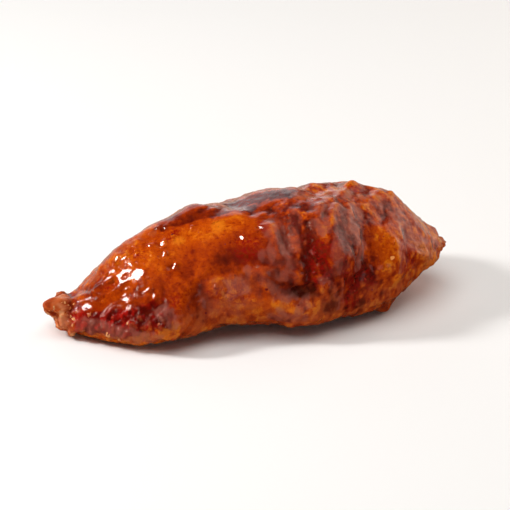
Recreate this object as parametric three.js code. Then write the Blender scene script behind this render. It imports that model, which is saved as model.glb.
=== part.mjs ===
// One glazed chicken tender, lying on its flat underside.
//
// Millimetres, +Z up. The piece lies along X with its ragged narrow end at -X and its wedge-shaped end at +X.
// The origin is on the surface that it lies on, below the middle of its bounding box.
//
// The body is a sphere whose two poles are drawn out to the ends of the strip. Each ring of the sphere becomes one
// cross-section, taken from the SECTIONS below, and the folds and swellings of the cooked meat are then raised or
// sunk in it one by one.

import * as THREE from "three";
import { mergeVertices } from "three/addons/utils/BufferGeometryUtils.js";

// Driving dimensions.
const LENGTH = 105;
const WIDTH = 41;
const HEIGHT = 31;

// The mesh.
const RINGS = 60;
const SIDES = 80;

// Cross-sections from the ragged end (at: 0) to the wedge end (at: 1).
// wide: width as a share of WIDTH. tall: height as a share of HEIGHT. lift: the underside's height above the
// surface, as a share of HEIGHT; a little below 0 is pressed flat. sway: how far the middle lies off the X axis, as
// a share of WIDTH, towards +Y. waist: how high up the section it is widest, as a share of its own height.
// roof: how boxy its upper half is, where 1 has straight slopes, 2 is round and more is boxier. lean: how far its
// top is set back towards +Y, as a share of WIDTH.
const SECTIONS = [
  { at: 0.0, wide: 0.2, tall: 0.26, lift: 0.06, sway: -0.02, waist: 0.5, roof: 2.0, lean: 0.0 },
  { at: 0.05, wide: 0.32, tall: 0.29, lift: 0.0, sway: -0.03, waist: 0.45, roof: 1.8, lean: 0.02 },
  { at: 0.1, wide: 0.5, tall: 0.44, lift: -0.02, sway: -0.06, waist: 0.38, roof: 1.6, lean: 0.06 },
  { at: 0.18, wide: 0.75, tall: 0.7, lift: -0.03, sway: -0.11, waist: 0.34, roof: 1.45, lean: 0.12 },
  { at: 0.26, wide: 0.88, tall: 0.82, lift: -0.01, sway: -0.11, waist: 0.34, roof: 1.4, lean: 0.14 },
  { at: 0.35, wide: 0.91, tall: 0.87, lift: 0.02, sway: -0.05, waist: 0.38, roof: 1.45, lean: 0.12 },
  { at: 0.45, wide: 0.97, tall: 0.89, lift: 0.01, sway: -0.02, waist: 0.42, roof: 1.6, lean: 0.08 },
  { at: 0.6, wide: 1.04, tall: 1.02, lift: -0.03, sway: -0.09, waist: 0.46, roof: 1.9, lean: 0.06 },
  { at: 0.72, wide: 1.0, tall: 0.96, lift: -0.02, sway: -0.04, waist: 0.48, roof: 2.0, lean: 0.05 },
  { at: 0.81, wide: 0.92, tall: 0.82, lift: 0.02, sway: 0.02, waist: 0.5, roof: 2.0, lean: 0.02 },
  { at: 0.88, wide: 0.76, tall: 0.64, lift: 0.13, sway: 0.02, waist: 0.5, roof: 2.0, lean: 0.02 },
  { at: 0.94, wide: 0.48, tall: 0.36, lift: 0.23, sway: 0.0, waist: 0.5, roof: 2.0, lean: 0.0 },
  { at: 1.0, wide: 0.1, tall: 0.1, lift: 0.33, sway: 0.0, waist: 0.5, roof: 2.0, lean: 0.0 },
];
const BELLY = 2.35; // how boxy the lower half is, in the same terms
const FULL_RELIEF_RADIUS = 10; // the folds fade out where the strip is thinner than this
const END_LENGTH = { ragged: 4, wedge: 3 }; // how far each end rounds off

// The folds and swellings. along: place from the ragged end, 0 to 1. facing: which way round it looks, in degrees:
// 0 is the front (-Y), 90 the top, 180 the back (+Y), -90 the underside. reach and spread: its half sizes along the
// strip and round it. turn: how far its long side is turned from the strip's direction, in degrees.
// rise: its height, and below 0 its depth.
const FORMS = [
  // the front, from the ragged end
  { along: 0.02, facing: 75, reach: 2.5, spread: 2.5, turn: 0, rise: 1.4 },
  { along: 0.13, facing: 5, reach: 9, spread: 4, turn: 0, rise: 0.9 },
  { along: 0.2, facing: 50, reach: 11, spread: 8, turn: 8, rise: 0.9 },
  { along: 0.3, facing: -10, reach: 5, spread: 2, turn: 52, rise: -0.9 },
  { along: 0.4, facing: 4, reach: 9, spread: 2, turn: -4, rise: -1.1 },
  { along: 0.38, facing: -22, reach: 12, spread: 5, turn: 6, rise: 0.7 },
  { along: 0.4, facing: 38, reach: 13, spread: 8, turn: 0, rise: 1.1 },
  { along: 0.545, facing: 0, reach: 4.5, spread: 2.4, turn: 8, rise: -2.2 },
  { along: 0.57, facing: -30, reach: 10, spread: 5, turn: -6, rise: 1.8 },
  { along: 0.46, facing: 48, reach: 7, spread: 11, turn: 0, rise: 1.0 },
  { along: 0.51, facing: 40, reach: 3.5, spread: 9, turn: 4, rise: 0.5 },
  { along: 0.588, facing: 32, reach: 2.4, spread: 10, turn: -12, rise: -1.1 },
  { along: 0.65, facing: 34, reach: 4.5, spread: 10, turn: -6, rise: 1.3 },
  { along: 0.735, facing: 34, reach: 2.6, spread: 13, turn: -8, rise: -1.5 },
  { along: 0.68, facing: -4, reach: 6, spread: 4, turn: 30, rise: -1.3 },
  { along: 0.79, facing: 24, reach: 5.5, spread: 7.5, turn: 0, rise: 2.1 },
  { along: 0.77, facing: -34, reach: 8, spread: 3.5, turn: 10, rise: 1.5 },
  { along: 0.81, facing: -52, reach: 2.4, spread: 2.4, turn: 0, rise: 1.8 },
  { along: 0.875, facing: 10, reach: 2.4, spread: 8, turn: 0, rise: -0.8 },
  // the top
  { along: 0.52, facing: 98, reach: 10, spread: 7, turn: 0, rise: -1.1 },
  { along: 0.75, facing: 66, reach: 17, spread: 2.6, turn: 24, rise: 1.2 },
  { along: 0.68, facing: 95, reach: 8, spread: 3, turn: 16, rise: -1.1 },
  { along: 0.765, facing: 98, reach: 4, spread: 4, turn: 0, rise: 1.4 },
  { along: 0.845, facing: 92, reach: 6, spread: 4.5, turn: 16, rise: 1.3 },
  { along: 0.31, facing: 92, reach: 3, spread: 9, turn: 10, rise: -0.8 },
  // the back
  { along: 0.16, facing: 165, reach: 8, spread: 6, turn: 0, rise: 1.1 },
  { along: 0.28, facing: 150, reach: 13, spread: 8, turn: -12, rise: 1.5 },
  { along: 0.4, facing: 160, reach: 2.4, spread: 12, turn: 14, rise: -2.1 },
  { along: 0.5, facing: 155, reach: 8, spread: 9, turn: 6, rise: 1.5 },
  { along: 0.6, facing: 188, reach: 15, spread: 2.4, turn: 8, rise: -2.1 },
  { along: 0.63, facing: 150, reach: 2.2, spread: 8, turn: -12, rise: -1.5 },
  { along: 0.55, facing: 208, reach: 13, spread: 5, turn: 4, rise: 1.3 },
  { along: 0.74, facing: 165, reach: 7, spread: 9, turn: 0, rise: 1.4 },
  { along: 0.86, facing: 190, reach: 5, spread: 6, turn: 0, rise: 0.9 },
];

// Slow waves that keep the surface from looking turned on a lathe: length of one wave along the strip, waves round
// it, height, and where the wave starts.
const WAVES = [
  { length: 31, round: 2, rise: 0.55, start: 0.4 },
  { length: 19, round: 3, rise: 0.45, start: 2.1 },
  { length: 12, round: 5, rise: 0.32, start: 4.4 },
  { length: 8.5, round: 7, rise: 0.22, start: 1.3 },
];

const mix = THREE.MathUtils.lerp;
const radians = THREE.MathUtils.degToRad;

// A section's size at any place along the strip, on a smooth curve through the sections' own.
function smoothThrough(key) {
  const curve = new THREE.SplineCurve(SECTIONS.map((s) => new THREE.Vector2(s.at, s[key])));
  const points = curve.getPoints(40 * SECTIONS.length);
  return (at) => {
    const after = points.findIndex((p) => p.x >= at);
    if (after <= 0) return points[after < 0 ? points.length - 1 : 0].y;
    const [a, b] = [points[after - 1], points[after]];
    return mix(a.y, b.y, (at - a.x) / Math.max(b.x - a.x, 1e-9));
  };
}

const wideAt = smoothThrough("wide");
const tallAt = smoothThrough("tall");
const liftAt = smoothThrough("lift");
const swayAt = smoothThrough("sway");
const waistAt = smoothThrough("waist");
const roofAt = smoothThrough("roof");
const leanAt = smoothThrough("lean");

// 0 at the very end of the strip and 1 from `length` inwards, round like a ball.
function roundEnd(distance, length) {
  const left = 1 - Math.min(distance / length, 1);
  return Math.sqrt(Math.max(0, 1 - left * left));
}

// How far the folds, swellings and waves move the surface outwards at one place.
function reliefAt(at, facing, girthRadius) {
  let rise = 0;
  for (const form of FORMS) {
    const along = (at - form.along) * LENGTH;
    const degrees = THREE.MathUtils.euclideanModulo(facing - form.facing + 180, 360) - 180;
    const round = radians(degrees) * girthRadius;
    const [c, s] = [Math.cos(radians(form.turn)), Math.sin(radians(form.turn))];
    const a = (along * c + round * s) / form.reach;
    const b = (round * c - along * s) / form.spread;
    rise += form.rise * Math.exp(-(a * a + b * b));
  }
  for (const wave of WAVES) {
    const phase = (2 * Math.PI * at * LENGTH) / wave.length;
    rise += wave.rise * Math.sin(phase + wave.start) * Math.cos(wave.round * radians(facing) + phase / 3);
  }
  return rise;
}

// The point of the surface at one place along the strip (0 to 1) and one way round it (degrees, as in FORMS).
function surfacePoint(at, facing) {
  const ends =
    roundEnd(at * LENGTH, END_LENGTH.ragged) * roundEnd((1 - at) * LENGTH, END_LENGTH.wedge);
  const [c, s] = [Math.cos(radians(facing)), Math.sin(radians(facing))];
  const upper = s > 0;
  const tall = HEIGHT * tallAt(at) * ends;
  const halfWide = (WIDTH / 2) * wideAt(at) * ends;
  const halfTall = tall * (upper ? 1 - waistAt(at) : waistAt(at));
  const waist = HEIGHT * (liftAt(at) + tallAt(at) / 2) + tall * (waistAt(at) - 0.5);
  const boxiness = upper ? roofAt(at) : BELLY;
  const reach = (Math.abs(c) ** boxiness + Math.abs(s) ** boxiness) ** (-1 / boxiness);
  const setBack = upper ? WIDTH * leanAt(at) * s * reach : 0;
  const girthRadius = (halfWide + tall / 2) / 2;
  const fade = Math.min(1, girthRadius / FULL_RELIEF_RADIUS);
  const rise = fade * reliefAt(at, facing, girthRadius);
  return new THREE.Vector3(
    (at - 0.5) * LENGTH,
    WIDTH * swayAt(at) + setBack - (halfWide * reach + rise) * c,
    Math.max(0, waist + (halfTall * reach + rise) * s),
  );
}

function tenderGeometry() {
  const ball = new THREE.SphereGeometry(1, SIDES, RINGS);
  ball.deleteAttribute("normal");
  ball.deleteAttribute("uv");
  const geometry = mergeVertices(ball);
  const position = geometry.getAttribute("position");
  const p = new THREE.Vector3();
  for (let i = 0; i < position.count; i += 1) {
    p.fromBufferAttribute(position, i);
    const ring = Math.acos(THREE.MathUtils.clamp(-p.y, -1, 1)) / Math.PI;
    const at = mix(ring, (1 - Math.cos(Math.PI * ring)) / 2, 0.55);
    const facing = THREE.MathUtils.radToDeg(Math.atan2(p.z, p.x));
    const point = surfacePoint(at, facing);
    position.setXYZ(i, point.x, point.y, point.z);
  }
  geometry.computeBoundingBox();
  const middle = geometry.boundingBox.getCenter(new THREE.Vector3());
  geometry.translate(-middle.x, -middle.y, -geometry.boundingBox.min.z);
  geometry.computeVertexNormals();
  return geometry;
}

const glazedMeat = new THREE.MeshStandardMaterial({ color: 0xb4520f, roughness: 0.25, metalness: 0 });

const tender = new THREE.Mesh(tenderGeometry(), glazedMeat);
tender.name = "tender";

const part = new THREE.Group();
part.add(tender);

export default part;
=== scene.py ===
# %% [markdown]
# # A glazed chicken tender
#
# A tender is the long inner strip of a chicken breast. This one was fried in a thin coat of crumb and then
# tossed in a sticky amber glaze, so it has three layers to look at: the folded meat, the browned crust on
# it, and the wet glaze that runs off the ridges and lies thick in the folds.
#
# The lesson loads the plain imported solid, makes a fine skin from a copy of it, sculpts the folds and the
# crust into the skin with code, paints masks into it for the glaze, and dresses it with crumbs, spice
# flecks and glaze beads.

# %% Load the frame
import math
import random

import bmesh
import bpy
import numpy as np
from mathutils import Matrix, Vector, noise


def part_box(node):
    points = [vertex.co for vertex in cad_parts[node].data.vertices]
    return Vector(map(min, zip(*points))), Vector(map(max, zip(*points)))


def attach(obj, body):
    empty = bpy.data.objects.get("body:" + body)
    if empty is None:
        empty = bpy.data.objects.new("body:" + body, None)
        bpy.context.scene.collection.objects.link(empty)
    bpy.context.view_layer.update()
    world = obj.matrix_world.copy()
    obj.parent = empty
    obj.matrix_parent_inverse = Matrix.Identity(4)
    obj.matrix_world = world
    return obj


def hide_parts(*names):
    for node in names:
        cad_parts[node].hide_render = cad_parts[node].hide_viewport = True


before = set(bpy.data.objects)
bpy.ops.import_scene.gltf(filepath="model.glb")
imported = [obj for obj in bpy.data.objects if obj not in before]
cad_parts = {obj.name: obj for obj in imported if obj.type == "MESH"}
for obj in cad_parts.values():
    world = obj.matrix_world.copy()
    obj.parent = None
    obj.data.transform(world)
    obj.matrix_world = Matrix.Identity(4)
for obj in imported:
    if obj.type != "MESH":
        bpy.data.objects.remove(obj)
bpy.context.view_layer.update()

MM = 0.001
LOW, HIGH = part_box("tender")
LENGTH = HIGH.x - LOW.x
MIDDLE = (LOW + HIGH) / 2
print("tender, mm:", [round(side / MM, 1) for side in HIGH - LOW])

# %% [markdown]
# ## Camera
#
# The tender is seen from the front, a little from its ragged end and from above. The lens is long, as it is
# for food on a table: a short one would swell the near side. The distance is worked out from the width that
# the picture should span at the tender.

# %% Camera
PICTURE_WIDTH = 1.24 * LENGTH
LENS_MM, SENSOR_MM = 150, 36
AZIMUTH, ELEVATION = math.radians(-16), math.radians(25)


def direction(azimuth, elevation):
    """The unit vector towards a place round the tender: azimuth 0 is the front, and elevation is up."""
    flat = math.cos(elevation)
    return Vector((math.sin(azimuth) * flat, -math.cos(azimuth) * flat, math.sin(elevation)))


def aim(thing, place, target):
    """Puts a camera or a light at a place and turns it towards the target."""
    thing.location = place
    thing.rotation_mode = "QUATERNION"
    thing.rotation_quaternion = (target - place).to_track_quat("-Z", "Y")
    bpy.context.scene.collection.objects.link(thing)


lens = bpy.data.cameras.new("camera")
lens.lens, lens.sensor_width = LENS_MM, SENSOR_MM
lens.clip_start, lens.clip_end = 0.01, 20
camera = bpy.data.objects.new("camera", lens)
distance = PICTURE_WIDTH * LENS_MM / SENSOR_MM
aim(camera, MIDDLE + direction(AZIMUTH, ELEVATION) * distance, MIDDLE)
bpy.context.scene.camera = camera
print("camera stands", round(distance, 3), "m away")

# %% [markdown]
# ## Node helpers
#
# The room's light and every material are recipes of shader nodes. A short helper adds a node and sets its
# values, so that the recipes below stay readable, and the others name what is done most: to stretch,
# multiply, blend or step a value. Node groups are made with named inputs and outputs and then placed in
# each material with its own values.

# %% Node helpers
def colour(red, green, blue):
    """A screen colour, 0 to 255, as the linear values that a shader takes."""
    parts = [value / 255 for value in (red, green, blue)]
    return (*[p / 12.92 if p <= 0.04045 else ((p + 0.055) / 1.055) ** 2.4 for p in parts], 1.0)


def add(tree, kind, **settings):
    """Adds a node. Plain settings are the node's own, and inputs is a dict of socket values or links."""
    inputs = settings.pop("inputs", {})
    node = tree.nodes.new(kind)
    for key, value in settings.items():
        setattr(node, key, value)
    for key, value in inputs.items():
        if isinstance(value, bpy.types.NodeSocket):
            tree.links.new(value, node.inputs[key])
        else:
            node.inputs[key].default_value = value
    return node


def sharpen(tree, value, low, high):
    """The part of a value between low and high, stretched to 0 to 1."""
    inputs = {"Value": value, "From Min": low, "From Max": high}
    return add(tree, "ShaderNodeMapRange", inputs=inputs).outputs[0]


def math_node(tree, operation, *values):
    return add(tree, "ShaderNodeMath", operation=operation, inputs=dict(enumerate(values))).outputs[0]


def times(tree, first, second):
    return math_node(tree, "MULTIPLY", first, second)


def weighted(tree, value, weight, onto):
    """value times weight, plus another value."""
    return math_node(tree, "MULTIPLY_ADD", value, weight, onto)


def vector_node(tree, operation, first, second):
    return add(tree, "ShaderNodeVectorMath", operation=operation, inputs={0: first, 1: second}).outputs


def blend_colour(tree, amount, under, over, mode="MIX"):
    """Lays one colour over another by a mask, or multiplies or adds the two."""
    inputs = {0: amount, 6: under, 7: over}
    return add(tree, "ShaderNodeMix", data_type="RGBA", blend_type=mode, inputs=inputs).outputs[2]


def stepped(tree, value, stops):
    """A colour ramp through the given stops, a dict of place and colour."""
    node = add(tree, "ShaderNodeValToRGB", inputs={0: value})
    places = sorted(stops)
    node.color_ramp.elements[0].position = places[0]
    node.color_ramp.elements[1].position = places[-1]
    for place in places[1:-1]:
        node.color_ramp.elements.new(place)
    for element, place in zip(node.color_ramp.elements, places):
        element.color = stops[place]
    return node.outputs[0]


def new_group(name, inputs, outputs):
    """An empty shader node group, the sockets that bring its inputs and those that take its outputs."""
    group = bpy.data.node_groups.new(name, "ShaderNodeTree")
    for label, value in inputs.items():
        socket = group.interface.new_socket(label, in_out="INPUT", socket_type="NodeSocketFloat")
        socket.default_value = value
    for label in outputs:
        group.interface.new_socket(label, in_out="OUTPUT", socket_type="NodeSocketFloat")
    return group, group.nodes.new("NodeGroupInput").outputs, group.nodes.new("NodeGroupOutput").inputs


def use_group(tree, group, **values):
    """Places a group in a material with its own values. An underscore in a name stands for a space."""
    inputs = {key.replace("_", " ").capitalize(): value for key, value in values.items()}
    return add(tree, "ShaderNodeGroup", node_tree=group, inputs=inputs).outputs


def new_material(name, values):
    """A material, its nodes and its shader, with the values that are the same all over set on the shader."""
    material = bpy.data.materials.new(name)
    material.use_nodes = True
    shader = material.node_tree.nodes["Principled BSDF"]
    for key, value in values.items():
        shader.inputs[key].default_value = value
    return material, material.node_tree, shader


# %% [markdown]
# ## Studio
#
# Wet food is lit by what it mirrors. A small hard key on the ragged end's side breaks into crisp sparks on
# the glaze, and a large warm panel on the other side lies on the rough half as a pale sheen. Two dim
# panels, one behind and one in front, do the same for the flat top and for the front along the long fold.
# The room itself is dark and warm, lighter on the ragged end's side and along the horizon behind, so that
# the glaze keeps its depth and only the edges seen at a slant turn pale. A wide fill overhead lifts the
# shadows, and the glaze doesn't mirror it.

# %% Lights, horizon and floor
LAMPS = {}


def panel(name, azimuth, elevation, away, size, power, tint):
    """One square area light that looks at the tender."""
    light = bpy.data.lights.new(name, "AREA")
    light.shape, light.size = "SQUARE", size
    light.energy, light.color = power, tint
    LAMPS[name] = MIDDLE + direction(math.radians(azimuth), math.radians(elevation)) * away
    lamp = bpy.data.objects.new(name, light)
    aim(lamp, LAMPS[name], MIDDLE)
    return lamp


panel("key", azimuth=-105, elevation=36, away=0.6, size=0.1, power=2.4, tint=(1.0, 0.98, 0.96))
panel("sheen", azimuth=103, elevation=28, away=0.6, size=0.7, power=1.8, tint=(1.0, 0.88, 0.78))
panel("backdrop", azimuth=180, elevation=20, away=0.9, size=0.6, power=0.86, tint=(0.93, 1.0, 1.06))
panel("window", azimuth=14, elevation=18, away=0.9, size=0.3, power=0.36, tint=(0.95, 0.97, 1.0))
fill = panel("fill", azimuth=-40, elevation=75, away=1.2, size=1.2, power=10.0, tint=(1.0, 0.99, 0.97))
fill.visible_glossy = False  # so that it doesn't lie on the glaze as a veil

world = bpy.data.worlds.new("studio")
bpy.context.scene.world = world
world.use_nodes = True
sky = world.node_tree
outlook = add(sky, "ShaderNodeTexCoord").outputs["Generated"]
heading = add(sky, "ShaderNodeSeparateXYZ", inputs={0: outlook}).outputs


def sky_light(axis, low, high, stops, tint=(1.0, 1.0, 1.03)):
    """Light that changes with one coordinate of the direction. stops is a dict of place and brightness."""
    value = sharpen(sky, heading[axis], low, high)
    return stepped(sky, value, {at: (*[bright * part for part in tint], 1) for at, bright in stops.items()})


low_light = sky_light("Z", -1, 1, {0.3: 0.02, 0.44: 0.06, 0.52: 0.13, 0.7: 0.03}, tint=(1.0, 0.88, 0.74))
left_light = sky_light("X", -1, 1, {0.1: 0.95, 0.7: 0.4}, tint=(1.0, 0.97, 0.92))
back_light = sky_light("Y", 0.2, 0.8, {0.0: 0.0, 1.0: 0.55}, tint=(1.0, 0.72, 0.56))
horizon_light = sky_light("Z", -0.6, 0.3, {0.05: 0.0, 0.3: 1.0, 0.6: 1.0, 1.0: 0.0})
room_light = blend_colour(sky, 1.0, low_light, left_light, "MULTIPLY")
light_behind = blend_colour(sky, 1.0, back_light, horizon_light, "MULTIPLY")
all_light = blend_colour(sky, 1.0, room_light, light_behind, "ADD")
sky.links.new(all_light, sky.nodes["Background"].inputs["Color"])

bpy.context.scene.view_settings.view_transform = "Standard"

FLOOR_SIDE = 12.0
FLOOR_FINISH = {"Base Color": (0.94, 0.94, 0.94, 1), "Roughness": 0.7, "Specular IOR Level": 0.1}


def finished(bm, name):
    """Turns a bmesh into a piece of the scene."""
    mesh = bpy.data.meshes.new(name)
    bm.to_mesh(mesh)
    bm.free()
    piece = bpy.data.objects.new(name, mesh)
    bpy.context.scene.collection.objects.link(piece)
    return piece


bm = bmesh.new()
bmesh.ops.create_grid(bm, x_segments=1, y_segments=1, size=FLOOR_SIDE / 2)
floor = finished(bm, "floor")
floor.visible_glossy = False  # the glaze mirrors the darker horizon instead, so its lower folds stay deep
floor.data.materials.append(new_material("floor", FLOOR_FINISH)[0])
print("panels:", ", ".join(LAMPS))

# %% [markdown]
# ## A fine skin
#
# The solid has faces of about two millimetres, which is too coarse for crust. A copy of it is merged,
# rounded with two levels of subdivision and then rebuilt by a voxel remesh, which spreads small squares
# evenly over it and closes the two poles. Sculpting needs such even squares: a stretched face would stretch
# the crust on it.

# %% Skin from a copy of the solid
GRAIN = 0.4 * MM


def merged_copy(node, name):
    """A copy of a CAD node's mesh with its loose triangles joined up."""
    bm = bmesh.new()
    bm.from_mesh(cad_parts[node].data)
    bmesh.ops.remove_doubles(bm, verts=bm.verts, dist=0.01 * MM)
    return finished(bm, name)


def apply_modifiers(piece):
    """Makes the live modifiers' result the piece's own mesh."""
    result = bpy.data.meshes.new_from_object(piece.evaluated_get(bpy.context.evaluated_depsgraph_get()))
    piece.modifiers.clear()
    piece.data = result


skin = merged_copy("tender", "glazed_tender")
rounding = skin.modifiers.new("rounding", "SUBSURF")
rounding.levels = rounding.render_levels = 2
rebuild = skin.modifiers.new("rebuild", "REMESH")
rebuild.mode, rebuild.voxel_size = "VOXEL", GRAIN
apply_modifiers(skin)
print("skin faces:", len(skin.data.polygons))

# %% [markdown]
# ## Finding the way on the skin
#
# Every fold is placed by two numbers: how far along the strip it lies, from 0 at the ragged end to 1 at the
# wedge, and which way round it faces, in degrees, with 0 at the front, 90 on top and 180 at the back.
# Distances are then measured on the skin in millimetres, so a crease keeps its width wherever it runs.

# %% Places on the skin
STATIONS = 80


def rows_of(items, what):
    """Three numbers of every item as one row each, such as its place or its normal."""
    values = np.empty(len(items) * 3)
    items.foreach_get(what, values)
    return values.reshape(-1, 3)


start = rows_of(skin.data.vertices, "co") / MM
length, foot = LENGTH / MM, LOW.x / MM
station = np.clip(((start[:, 0] - foot) / length * STATIONS).astype(int), 0, STATIONS - 1)
axis = np.zeros((STATIONS, 3))
for i in range(STATIONS):
    ring = start[station == i]
    low, high = ring[:, 1:].min(axis=0), ring[:, 1:].max(axis=0)
    axis[i] = [*(low + high) / 2, (high - low).sum() / 4]
for _ in range(2):
    axis[1:-1] = (axis[:-2] + axis[1:-1] + axis[2:]) / 3
middles = (np.arange(STATIONS) + 0.5) / STATIONS
along = (start[:, 0] - foot) / length
centre_y, centre_z, girth = (np.interp(along, middles, axis[:, k]) for k in range(3))
facing = np.degrees(np.arctan2(start[:, 2] - centre_z, centre_y - start[:, 1]))
print("girth radius, mm:", round(girth.min(), 1), "to", round(girth.max(), 1))


def turn_from(place):
    """Degrees from a place's facing to every vertex's, the short way round."""
    return (facing - place + 180) % 360 - 180


def offset(spot_along, spot_facing):
    """Millimetres from one spot to every vertex: along the strip and round it."""
    return (along - spot_along) * length, np.radians(turn_from(spot_facing)) * girth


def patch(spot_along, spot_facing, reach, spread, turn=0.0):
    """1 at a spot, fading to 0 about one reach along the strip and one spread round it."""
    a, r = offset(spot_along, spot_facing)
    c, s = math.cos(math.radians(turn)), math.sin(math.radians(turn))
    return np.exp(-(((a * c + r * s) / reach) ** 2) - ((r * c - a * s) / spread) ** 2)


def beside(path):
    """Signed millimetres from every vertex to a line of (along, facing) points, above 0 on its upper side."""
    best = np.full(len(start), 1e9)
    side = np.ones(len(start))
    for (a0, f0), (a1, f1) in zip(path, path[1:]):
        a, r = offset(a0, f0)
        da, dr = (a1 - a0) * length, np.radians(f1 - f0) * girth
        t = np.clip((a * da + r * dr) / (da * da + dr * dr), 0, 1)
        gap = np.hypot(a - t * da, r - t * dr)
        nearer = gap < best
        best = np.where(nearer, gap, best)
        side = np.where(nearer, np.sign(da * r - dr * a), side)
    return best * side


# %% [markdown]
# ## Noise in millimetres
#
# Crust is uneven at many sizes at once. Each helper takes the size of one bump in millimetres, so the
# numbers in the recipe below can be read off a real tender with a ruler.

# %% Noise fields
def field(size, kind=noise.noise, shift=0.0, squeeze=(1, 1, 1), where=None):
    """One noise value for each vertex, with bumps of that size. squeeze packs it closer along X, Y or Z."""
    values = np.zeros(len(start))
    rows = np.arange(len(start)) if where is None else np.flatnonzero(where > 0)
    scaled = start[rows] * np.array(squeeze) / size + shift
    values[rows] = [kind(Vector(p)) for p in scaled]
    return values


SIDEWAYS = Vector((31.4, 47.2, 0))  # far enough away that the noise there is another one


def fractal(p):
    return noise.fractal(p, 1.0, 2.0, 3)


def lumps(p):
    """Round lumps with sharp creases between them: 0 in the creases."""
    return abs(noise.noise(p)) + 0.5 * abs(noise.noise(p * 2.1))


def own_numbers(centre):
    """Three numbers from 0 to 1 that are the same all over the cell with that centre."""
    return noise.cell_vector(centre * 7.3)


def plates(p):
    """Tilted flakes: each cell is a little flat plate that leans its own way."""
    q = p * 1.3
    bent = Vector((noise.noise(q), noise.noise(q + SIDEWAYS), noise.noise(q - SIDEWAYS)))
    centre = noise.voronoi(p + 0.5 * bent)[1][0]
    lean = own_numbers(centre) - Vector((0.5, 0.5, 0.5))
    return lean.dot(p - centre)


def pebble_tone(p):
    """A number from 0 to 1 that is the same all over one pebble."""
    return own_numbers(noise.voronoi(p)[1][0]).x


def pebbles(p):
    """Round bits packed side by side, each with its own height."""
    distances, centres = noise.voronoi(p)
    return max(0.0, 1 - 1.6 * distances[0] ** 2) * (0.4 + 0.6 * own_numbers(centres[0]).x)


def ramp(low, high, values):
    """0 below low and 1 above high, smoothly."""
    t = np.clip((values - low) / (high - low), 0, 1)
    return t * t * (3 - 2 * t)


wander = field(9, shift=3.1)
fine_wander = field(2.2, shift=8.7)
tear = 0.6 * field(2.6, shift=12.3) + 0.5 * field(1.1, shift=15.9)


def stroke(path, wide):
    """1 along a path and 0 beside it, with a torn edge. wide is half its width in mm."""
    gap = np.abs(beside(path)) / wide + 0.7 * tear
    return ramp(1.2, 0.75, gap)


print("noise over", len(start), "vertices")

# %% [markdown]
# ## Where the crust is rough
#
# The glaze is thick and smooth on the upper face near the ragged end. It is thin over the wedge half, over
# both ends and along the lower rim, and there the crust shows its grain. One mask says how rough each place
# is, and the relief and the finish both follow it.

# %% Rough and smooth places
POOLS = [(0.785, 22, 5.5, 6), (0.62, 34, 2.5, 6), (0.36, 62, 14, 8), (0.3, 150, 10, 6), (0.17, 54, 4, 4)]

behind = ramp(115, 150, np.abs(turn_from(0)))
lower_rim = ramp(14, -6, facing + 8 * wander) * ramp(-75, -50, facing)
rough = 0.3 + 0.6 * ramp(0.46, 0.6, along + 0.02 * wander)
for place in [
    1.15 * ramp(0.12, 0.02, along),  # the ragged end
    0.9 * lower_rim * ramp(0.3, 0.2, along),
    1.1 * ramp(0.9, 0.98, along),  # the wedge's end
    0.75 * behind,
    0.8 * ramp(-6, -20, facing + 8 * wander) * ramp(-80, -60, facing),  # the whole lower side
]:
    rough = np.maximum(rough, place)
for spot in POOLS:  # thick glaze
    rough -= 0.5 * patch(*spot)
rough -= 0.7 * patch(0.52, 104, 11, 6) + 0.35 * patch(0.7, 90, 8, 4)  # the flat top
rough += 0.35 * patch(0.15, 96, 9, 4)  # crumb on the back edge
rough = np.clip(rough, 0.05, 1.2)
print("rough places:", round(100 * (rough > 0.6).mean()), "% of the skin")

# %% [markdown]
# ## Folds, swellings and wrinkles
#
# The big forms are in the solid already. What is added here is their crisp part: the line at the bottom of
# each fold, with the swollen lip beside it, and the wrinkles where the meat gathers.

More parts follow.
